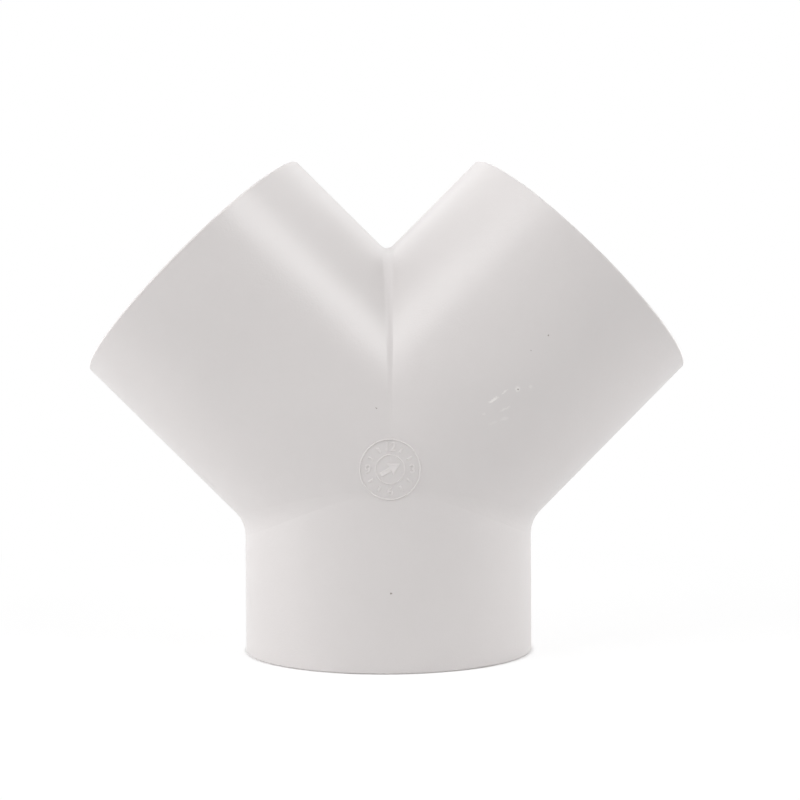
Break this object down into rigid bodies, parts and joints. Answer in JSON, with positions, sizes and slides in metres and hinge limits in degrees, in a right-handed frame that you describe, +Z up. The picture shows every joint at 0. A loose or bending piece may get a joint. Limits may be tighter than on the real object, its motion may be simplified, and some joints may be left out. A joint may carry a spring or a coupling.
{
  "type": "symmetrical wye duct fitting",
  "caption": "Symmetrical wye for round air duct: a short upright stem splits into two leaning branches, with a socket in each mouth.",
  "frame": {"origin": "centre of the stem's rim, on the surface that the fitting stands on", "axes": "+Z up the stem; the two branches lean towards -X and +X in the XZ plane; +Y is the thickness"},
  "size_m": [0.1426, 0.0706, 0.1177],
  "materials": {
    "moulded_plastic": "satin light warm grey"
  },
  "bodies": {
    "root": {"wye_body": "moulded_plastic"}
  },
  "joints": []
}
